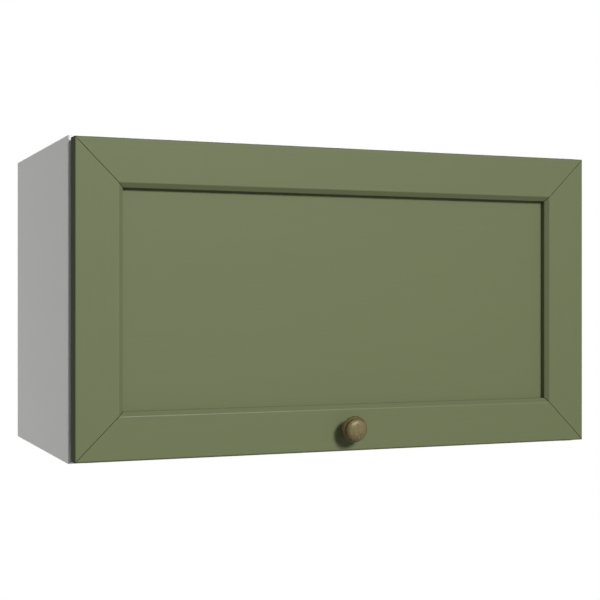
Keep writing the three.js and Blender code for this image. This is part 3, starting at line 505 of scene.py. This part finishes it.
def bored(mesh, tools):
    """A mesh with other meshes cut out of it."""
    body = bpy.data.objects.new(mesh.name, mesh)
    bpy.context.scene.collection.objects.link(body)
    spent = [body]
    for tool in tools:
        cutter = bpy.data.objects.new("cutter", tool)
        bpy.context.scene.collection.objects.link(cutter)
        hole = body.modifiers.new("bore", "BOOLEAN")
        hole.operation, hole.solver, hole.object = "DIFFERENCE", "EXACT", cutter
        spent.append(cutter)
    shape = bpy.data.meshes.new_from_object(body.evaluated_get(bpy.context.evaluated_depsgraph_get()))
    for each in spent:
        bpy.data.objects.remove(each)
    smooth_faces(shape)
    return shape


def paint(name, stretch, framed=True):
    """Satin paint with orange peel and faint streaks along the bar. On a frame bar painted shade darkens it
    along the outer edge, on the bevel and in the mitre joint, and it is rubbed glossy along the crest of the
    bevel."""
    material, tree, shader, place = new_material(name, Specular_IOR_Level=0.15, Coat_Roughness=0.3)
    tone, peel = grained(tree, place, stretch, STREAKS_PER_METRE, 0.014)
    rough = maths(tree, "MULTIPLY_ADD", peel, 0.14, 0.44)
    if framed:
        across, depth, up = axes_of(tree, place)
        from_side = maths(tree, "SUBTRACT", DOOR_HALF * MM, maths(tree, "ABSOLUTE", across))
        off_middle = maths(tree, "ABSOLUTE", maths(tree, "SUBTRACT", up, (DOOR_LOW + DOOR_HIGH) / 2 * MM))
        from_end = maths(tree, "SUBTRACT", (DOOR_HIGH - DOOR_LOW) / 2 * MM, off_middle)
        from_edge = maths(tree, "MINIMUM", from_side, from_end)
        from_mitre = maths(tree, "ABSOLUTE", maths(tree, "SUBTRACT", from_side, from_end))
        # Painted shade: the paint is darkened on the front part of the bevel, along the outer edges and in the
        # mitre joints
        shade_end = DOOR_FRONT + SHADE_DEPTH
        in_front = ramp(tree, depth, shade_end * MM, (shade_end + 1) * MM, 1, 0)
        bevel_painted_shade = ramp(tree, from_edge, (FRAME_FLAT + 0.4) * MM, (FRAME_FLAT + 0.9) * MM, 0, BEVEL_SHADE)
        bevel = maths(tree, "SUBTRACT", 1, maths(tree, "MULTIPLY", bevel_painted_shade, in_front))
        # Painted shade along the outer edge, then in the mitre joint
        edge = ramp(tree, from_edge, 0.3 * MM, 1.2 * MM, EDGE_PAINTED_SHADE, 1)
        mitre = ramp(tree, from_mitre, 0.3 * MM, 0.72 * MM, MITRE_PAINTED_SHADE, 1)
        for part in (edge, bevel, mitre):
            tone = maths(tree, "MULTIPLY", tone, part)
        rough = maths(tree, "MAXIMUM", rough, ramp(tree, from_edge, 0.5 * MM, 1.2 * MM, 0.95, 0.3))
        crest = maths(tree, "MULTIPLY", maths(tree, "COMPARE", from_edge, FRAME_FLAT * MM, 0.5 * MM), in_front)
        tree.links.new(maths(tree, "MULTIPLY", crest, CREST_COAT), shader["Coat Weight"])
    tree.links.new(toned(tree, SAGE_PAINT, tone), shader["Base Color"])
    tree.links.new(rough, shader["Roughness"])
    tree.links.new(bumped(tree, peel, 0.1, 0.05 * MM), shader["Normal"])
    return material


paint_across, paint_upright = paint("paint_along_rails", ALONG_RAIL), paint("paint_along_stiles", ALONG_STILE)
door_width, door_height, door_middle = 2 * DOOR_HALF, DOOR_HIGH - DOOR_LOW, (DOOR_HIGH + DOOR_LOW) / 2
bore = turned([(0, 1), (CUP_BORE_R, 1), (CUP_BORE_R, -CUP_BORE_DEPTH), (0, -CUP_BORE_DEPTH)], 72)
bores = [skin("bore", stand(bore, (x, DOOR_BACK, CUP_Z), (0, 1, 0))) for x in CUP_XS]
top_rail = bored(skin("top_rail", frame_bar(door_width, (0, DOOR_FRONT, DOOR_HIGH), (0, 0, -1))), bores)
bottom_rail = skin("bottom_rail", frame_bar(door_width, (0, DOOR_FRONT, DOOR_LOW), (0, 0, 1)))
left_stile = skin("left_stile", frame_bar(door_height, (-DOOR_HALF, DOOR_FRONT, door_middle), (1, 0, 0)))
right_stile = skin("right_stile", frame_bar(door_height, (DOOR_HALF, DOOR_FRONT, door_middle), (-1, 0, 0)))
for name, bar, finish in (("top_rail", top_rail, paint_across), ("bottom_rail", bottom_rail, paint_across),
                          ("left_stile", left_stile, paint_upright),
                          ("right_stile", right_stile, paint_upright)):
    piece = add_piece(name, bar, finish, "door", "door_paint", "door_" + name)
    piece.modifiers.new("flat faces shade flat", "WEIGHTED_NORMAL").keep_sharp = True

# ----------------------------------------------------------------------------------- centre panel
# A 6 mm board held loose in the frame's groove. It is painted with the frame, in streaks along its width, and
# it has none of the frame's dark edges.

nodes["door_centre_panel"].data.materials[0] = paint("paint_on_panel", ALONG_RAIL, framed=False)

# ------------------------------------------------------------------------------------------- knob
# One turned brass knob in the middle of the bottom rail: a foot, a waisted neck, a broad rim, a groove and a
# full domed face. It is aged dark and mottled, with painted shade on its rim and groove, and a screw through
# the rail holds it from behind.

SEAT = 0.2  # between a fitting and the face that it sits on
KNOB_Z = 19.6
KNOB_DOME_R, KNOB_DOME_OUT, KNOB_LENGTH = 12.3, 19.6, 25.0
KNOB_DOME_FULL = 0.55
KNOB_BODY = np.array([  # radius, out from the door's face, corner radius
    (12.3, 19.6, 0.3), (12.3, 18.8, 0.3), (12.0, 18.3, 0.2), (12.0, 17.8, 0.2), (12.9, 17.5, 0.4),
    (14.1, 15.9, 1.2), (14.0, 15.0, 0.5), (13.4, 14.6, 0.4), (8.5, 11.6, 3.0), (6.5, 7.3, 3.0),
    (7.2, 3.0, 1.0), (9.0, 1.8, 0.5), (9.0, 0.2, 0.2), (0, 0.2, 0)])
KNOB_SHARP_ANGLE = 50
KNOB_SCREW = {"head_r": 4.4, "head_height": 2.4, "shank_r": 2, "length": 29.2}
BRASS_DARK = (0.088, 0.065, 0.022, 1)
BRASS_LIGHT = (0.172, 0.143, 0.053, 1)
MOTTLES_PER_METRE = 330
BLOTCHES_PER_METRE = 620

aged_brass, tree, shader, place = new_material(
    "aged_brass", Metallic=0.3, Specular_IOR_Level=0.1, Coat_Roughness=0.45)
across, _, up = axes_of(tree, vectors(tree, "SUBTRACT", place, (0, DOOR_FRONT * MM, KNOB_Z * MM)))
squares = [maths(tree, "MULTIPLY", axis, axis) for axis in (across, up)]
radius = maths(tree, "SQRT", maths(tree, "ADD", *squares))
tone, pits = grained(tree, place, EVEN, MOTTLES_PER_METRE, 0.12)
blotches = add_node(tree, "TexNoise", {"Vector": place, "Scale": BLOTCHES_PER_METRE, "Detail": 4,
                                       "Roughness": 0.65}).outputs[0]
worn = ramp(tree, blotches, 0.38, 0.62, 0.15, 0.9)
# Painted shade: the brass is made darker outside the dome, on the groove and the rim
rim_painted_shade = ramp(tree, radius, 11.7 * MM, 12.4 * MM, 1, 0.4)
brass = blend(tree, maths(tree, "MULTIPLY", worn, rim_painted_shade), BRASS_DARK, BRASS_LIGHT)
rubbed = ramp(tree, radius, 9.5 * MM, 11.8 * MM, 1, 0.2)
gloss = maths(tree, "MULTIPLY", rubbed, ramp(tree, blotches, 0.40, 0.60, 0.4, 0.95))
tree.links.new(toned(tree, brass, tone), shader["Base Color"])
tree.links.new(ramp(tree, blotches, 0.35, 0.65, 0.62, 0.50), shader["Roughness"])
tree.links.new(gloss, shader["Coat Weight"])
tree.links.new(bumped(tree, maths(tree, "ADD", pits, blotches), 0.3, 0.08 * MM), shader["Normal"])

# The dome's radius is the cosine of its rise to a power below 1, which fills its shoulder.
rise = np.linspace(np.pi / 2, 0, 18, endpoint=False)
dome = np.column_stack([KNOB_DOME_R * np.cos(rise) ** KNOB_DOME_FULL,
                        KNOB_DOME_OUT + (KNOB_LENGTH - KNOB_DOME_OUT) * np.sin(rise), 0 * rise])
knob_corners = np.concatenate([dome, KNOB_BODY])
knob_profile = rounded(knob_corners[:, :2], knob_corners[:, 2], 5)
knob_rings = stand(turned(knob_profile, 96), (0, DOOR_FRONT, KNOB_Z), (0, -1, 0))
add_piece("turned_knob", skin("turned_knob", knob_rings, KNOB_SHARP_ANGLE), aged_brass, "door", "aged_brass",
          "knob")
add_screw("knob_fixing_screw", KNOB_SCREW, 0.3, (0, DOOR_BACK + SEAT, KNOB_Z), (0, 1, 0), "door", "knob_screw")

# --------------------------------------------------------------------------------------- bumpers
# Two clear soft pads stuck to the door's back near its lower corners. They meet the side boards' front edges
# and keep the closed door off the cabinet.

PAD_X, PAD_Z = 292, 7
PAD_PROFILE = [(0, 2.6), (1.6, 2.55), (2.6, 2.35), (3.3, 1.9), (3.75, 1.2), (3.95, 0.5), (4, 0), (0, 0)]
CLEAR_SOFT = (0.70, 0.71, 0.69)
HAZE_PER_METRE = 300

soft_pad, tree, shader, place = new_material("soft_pad", Specular_IOR_Level=0.5)
tone, haze = grained(tree, place, EVEN, HAZE_PER_METRE, 0.03)
tree.links.new(toned(tree, CLEAR_SOFT, tone), shader["Base Color"])
tree.links.new(maths(tree, "MULTIPLY_ADD", haze, 0.1, 0.2), shader["Roughness"])
for side, sign in (("left", -1), ("right", 1)):
    pad = skin(f"pad_{side}", stand(turned(PAD_PROFILE), (sign * PAD_X, DOOR_BACK + SEAT, PAD_Z), (0, 1, 0)))
    add_piece(f"pad_{side}", pad, soft_pad, "door", "bumper_rubber", f"bumper_{side}")

# ------------------------------------------------------------------------------------ cup hinges
# Two pressed steel hinges, nickel plated. The plate is screwed under the top board, the arm reaches into the
# cup and turns on a pin there, and the cup is let into the top rail and held by two screws.

HINGE_EDGE = 0.4
CUP_EDGE = 0.25
FOOT_SCREW = {"head_r": 4, "head_height": 2, "shank_r": 1.8, "length": 14}
FOOT_SCREW_APART, FOOT_SCREW_Y, FOOT_SCREW_Z = 16, -255, 305.6
POT_SCREW = {"head_r": 4, "head_height": 2, "shank_r": 1.8, "length": 12}
POT_SCREW_APART, POT_SCREW_Y, POT_SCREW_Z = 24, -293.6, 291
ARM_SCREW = {"head_r": 3.2, "head_height": 1.3, "shank_r": 1.6, "length": 1.2}
ARM_SCREW_YS_AND_TURNS = ((-241, 0.2), (-263, 1.1))
ARM_UNDERSIDE = 299.8
NICKEL = (0.60, 0.59, 0.56)

nickel = metal("nickel_plate", NICKEL, satin=0.26, stretch=(1, 0.12, 1), per_metre=500, relief=0.01)
for side, x in zip(("left", "right"), CUP_XS):
    finish_node(f"hinge_plate_{side}", f"hinge_foot_{side}", nickel, HINGE_EDGE)
    finish_node(f"hinge_arm_{side}", f"hinge_link_{side}", nickel, HINGE_EDGE)
    finish_node(f"hinge_cup_{side}", f"hinge_pot_{side}", nickel, CUP_EDGE)
    nodes[f"hinge_pin_{side}"].data.materials[0] = screw_zinc
    for letter, sign in (("a", -1), ("b", 1)):
        add_screw(f"foot_screw_{side}_{letter}", FOOT_SCREW, x + sign,
                  (x + sign * FOOT_SCREW_APART, FOOT_SCREW_Y, FOOT_SCREW_Z), (0, 0, -1),
                  "cabinet", f"plate_screw_{side}_{letter}")
        add_screw(f"pot_screw_{side}_{letter}", POT_SCREW, 2 * x + sign,
                  (x + sign * POT_SCREW_APART, POT_SCREW_Y, POT_SCREW_Z), (0, 1, 0),
                  "door", f"cup_screw_{side}_{letter}")
    for i, (y, turn) in enumerate(ARM_SCREW_YS_AND_TURNS):
        add_screw(f"arm_screw_{side}_{i + 1}", ARM_SCREW, turn, (x, y, ARM_UNDERSIDE), (0, 0, -1), "cabinet")

# ------------------------------------------------------------------------------------ lever stays
# One on each side board: a moulded housing with a torsion spring on a shaft, a steel lever on the shaft, and a
# link from the lever to a bracket on the door. They form a parallelogram with the cabinet and the door, so the
# link keeps its direction while the lever turns with the door.

SIDE_INNER_FACE = 284
LID_SCREW = {"head_r": 3.2, "head_height": 1.4, "shank_r": 1.5, "length": 8}
LID_SCREW_X = SIDE_INNER_FACE - 15.3
LID_SCREW_PLACES = ((-186, 288.5), (-186, 247.5), (-269, 288.5))  # depth and height
BRACKET_SCREW = {"head_r": 3.2, "head_height": 1.7, "shank_r": 1.6, "length": 12}
BRACKET_SCREW_X = SIDE_INNER_FACE - 16.2
BRACKET_SCREW_ZS = (235, 255)
BRACKET_FACE = -292.4
GREY_NYLON = (0.55, 0.56, 0.57)
SPRING_BLACK = (0.12, 0.125, 0.13)

moulded_grey = moulded("moulded_grey", GREY_NYLON)
oiled_spring = metal("oiled_spring", SPRING_BLACK, satin=0.38, stretch=EVEN, per_metre=800, relief=0.01)
for side, sign in (("left", -1), ("right", 1)):
    for node, name, finish, edge in (  # CAD node, piece, material, rounding of its edges
            ("stay_housing", "stay_box", moulded_grey, 0.5), ("stay_cover", "stay_lid", moulded_grey, 0.6),
            ("stay_shaft", "stay_axle", screw_zinc, 0.35), ("stay_lever", "stay_arm_bar", nickel, 0.5),
            ("stay_link", "stay_connecting_bar", nickel, 0.4), ("stay_link_pin", "stay_rivet", screw_zinc, 0.3),
            ("door_bracket", "stay_door_bracket", nickel, 0.4)):
        finish_node(f"{node}_{side}", f"{name}_{side}", finish, edge)
    nodes[f"stay_spring_{side}"].data.materials[0] = oiled_spring
    for i, (y, z) in enumerate(LID_SCREW_PLACES):
        add_screw(f"stay_lid_screw_{side}_{i + 1}", LID_SCREW, i + sign,
                  (sign * LID_SCREW_X, y, z), (-sign, 0, 0), "cabinet")
    for i, z in enumerate(BRACKET_SCREW_ZS):
        add_screw(f"bracket_screw_{side}_{i + 1}", BRACKET_SCREW, i - sign,
                  (sign * BRACKET_SCREW_X, BRACKET_FACE, z), (0, 1, 0), "door")

# ----------------------------------------------------------------------------------------- studio
# The camera stands where the photograph was taken. A soft key light in a grid comes from the upper right
# front, a fill lights the left side, and one from behind lights the back and the top. Places in this section
# are in metres.

CAMERA_PLACE = (-0.5763, -1.6007, 0.1575)
CAMERA_TURN = -21.99
CAMERA_LENS = 78.38
SENSOR_WIDTH = 36

camera = bpy.data.objects.new("camera", bpy.data.cameras.new("camera"))
bpy.context.scene.collection.objects.link(camera)
camera.location = CAMERA_PLACE
camera.rotation_euler = (math.radians(90), 0, math.radians(CAMERA_TURN))
camera.data.lens = CAMERA_LENS
camera.data.sensor_width = SENSOR_WIDTH
camera.data.clip_start = 0.02
camera.data.clip_end = 60
bpy.context.scene.camera = camera
bpy.context.scene.view_settings.view_transform = "Standard"


def shows_backdrop(tree):
    """1 for a ray from the camera or one that a glossy or clear surface sends on, and 0 for any other."""
    ray = add_node(tree, "LightPath").outputs
    sent_on = maths(tree, "MAXIMUM", ray["Is Glossy Ray"], ray["Is Transmission Ray"])
    return maths(tree, "MAXIMUM", ray["Is Camera Ray"], sent_on)


# The sky is white where it shows, and its light is soft: a little stronger from behind and from above.
world = bpy.data.worlds.new("studio")
bpy.context.scene.world = world
world.use_nodes = True
tree = world.node_tree
tree.nodes.clear()
_, depth, height = axes_of(tree, add_node(tree, "TexCoord").outputs["Generated"])
soft = maths(tree, "MULTIPLY_ADD", height, 0.04, maths(tree, "MULTIPLY_ADD", depth, 0.06, 0.16))
strength = add_node(tree, "Mix", {0: shows_backdrop(tree), 2: soft, 3: 1.0}).outputs[0]
sky = add_node(tree, "Background", {"Color": (1, 1, 1, 1), "Strength": strength})
add_node(tree, "OutputWorld", {"Surface": sky.outputs[0]})


def softbox(name, middle, direction, distance, size, power, spread=180):
    """A square lamp at a distance from middle in a direction, facing it. A grid narrows its beam to spread
    degrees."""
    lamp = bpy.data.lights.new(name, "AREA")
    lamp.shape, lamp.size, lamp.energy = "SQUARE", size, power
    lamp.spread = math.radians(spread)
    holder = bpy.data.objects.new(name, lamp)
    bpy.context.scene.collection.objects.link(holder)
    toward = np.array(direction, float) / np.linalg.norm(direction)
    holder.location = np.array(middle) + toward * distance
    holder.rotation_euler = Vector(toward).to_track_quat("Z", "Y").to_euler()
    holder.visible_camera = False


softbox("key", middle=(-0.25, -0.314, 0.42), direction=(0.25, -1, 0.45), distance=8, size=1.9, power=31.8,
        spread=40)
softbox("left fill", middle=(-0.3, -0.15, 0.158), direction=(-1, 0.4, -0.18), distance=4, size=1.5, power=15.7)
softbox("behind", middle=(0, 0, 0.158), direction=(0.25, 1, 0.45), distance=2.6, size=1.4, power=25)

# The floor is a plain pale sheet as far below as under a hung wall cabinet. Where it shows, it fades to white
# away from the middle and keeps the soft shadow near it.
FLOOR_Z = -1.4
FLOOR_HALF = 6
FADE_FROM, FADE_TO = 0.8, 3.2  # how far from the middle
PALE = (0.8, 0.8, 0.8)

floor_corners = [(x * FLOOR_HALF, y * FLOOR_HALF, FLOOR_Z) for x, y in ((-1, -1), (1, -1), (1, 1), (-1, 1))]
floor_mesh = bpy.data.meshes.new("floor")
floor_mesh.from_pydata(floor_corners, [], [(0, 1, 2, 3)])
floor = bpy.data.objects.new("floor", floor_mesh)
bpy.context.scene.collection.objects.link(floor)
pale, tree, shader, place = new_material("pale_floor", Roughness=0.9)
tone, _ = grained(tree, place, EVEN, 3, 0.01)
tree.links.new(toned(tree, PALE, tone), shader["Base Color"])
off_middle = add_node(tree, "VectorMath", {0: place, 1: (0, 0, FLOOR_Z)}, operation="DISTANCE").outputs["Value"]
away = ramp(tree, off_middle, FADE_FROM, FADE_TO, 0.6, 1)
glow = add_node(tree, "Emission", {"Color": (1, 1, 1, 1), "Strength": 1.0})
mixed = add_node(tree, "MixShader", {0: maths(tree, "MULTIPLY", shows_backdrop(tree), away),
                                     1: tree.nodes["Principled BSDF"].outputs[0], 2: glow.outputs[0]})
tree.links.new(mixed.outputs[0], tree.nodes["Material Output"].inputs[0])
floor_mesh.materials.append(pale)
